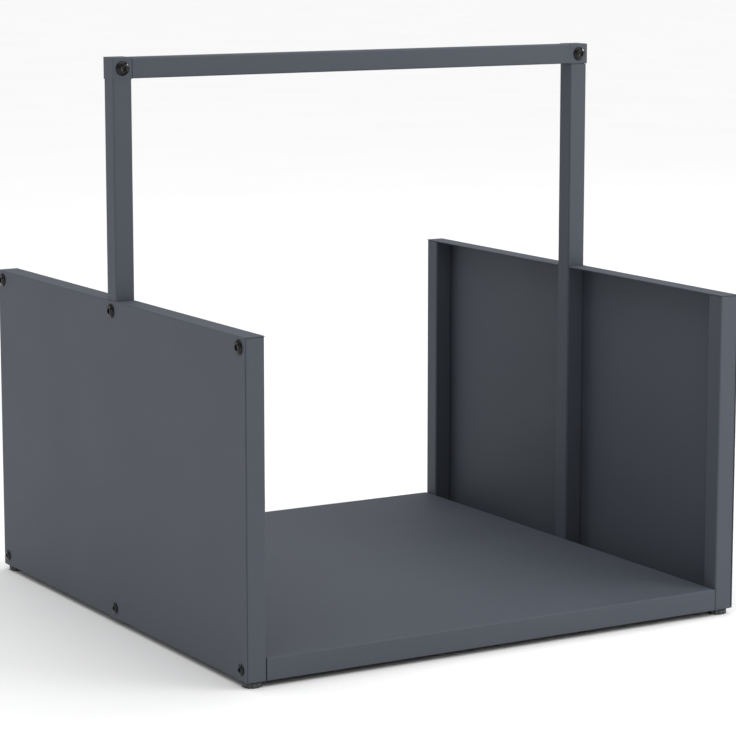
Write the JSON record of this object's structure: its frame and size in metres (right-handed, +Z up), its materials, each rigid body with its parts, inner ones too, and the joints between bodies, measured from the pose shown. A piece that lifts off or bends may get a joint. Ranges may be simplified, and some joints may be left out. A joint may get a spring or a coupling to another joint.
{
  "type": "firewood rack",
  "caption": "Low square firewood rack of sheet steel sides on square-tube legs, with a folded floor tray and a carrying handle on two posts.",
  "frame": {"origin": "on the floor, under the middle of the rack", "axes": "+X to the right across the width, +Y from the front to the back, +Z up from the floor"},
  "size_m": [0.4166, 0.41, 0.417],
  "materials": {
    "powder_coated_steel": "anthracite powder coat with a fine matt texture",
    "black_plated_steel": "black zinc plating, slightly glossy",
    "foot_plastic": "moulded black plastic",
    "zinc_steel": "zinc plated steel"
  },
  "bodies": {
    "root": {"side_sheet_left": "powder_coated_steel", "side_sheet_right": "powder_coated_steel", "front_leg_left": "powder_coated_steel", "rear_leg_left": "powder_coated_steel", "front_leg_right": "powder_coated_steel", "rear_leg_right": "powder_coated_steel", "post_left": "powder_coated_steel", "post_right": "powder_coated_steel", "handle_bar": "powder_coated_steel", "post_head_left": "powder_coated_steel", "bar_head_right": "powder_coated_steel", "floor_tray": "powder_coated_steel", "foot_front_left": "foot_plastic", "foot_rear_left": "foot_plastic", "foot_front_right": "foot_plastic", "foot_rear_right": "foot_plastic", "top_screws_left": "black_plated_steel", "top_screws_right": "black_plated_steel", "bottom_screws_left": "black_plated_steel", "bottom_screws_right": "black_plated_steel", "handle_screws": "black_plated_steel", "bar_tongue": "black_plated_steel", "post_tongue": "black_plated_steel", "tube_inserts_left": "zinc_steel", "tube_inserts_right": "zinc_steel", "tray_nuts_left": "zinc_steel", "tray_nuts_right": "zinc_steel"}
  },
  "joints": []
}
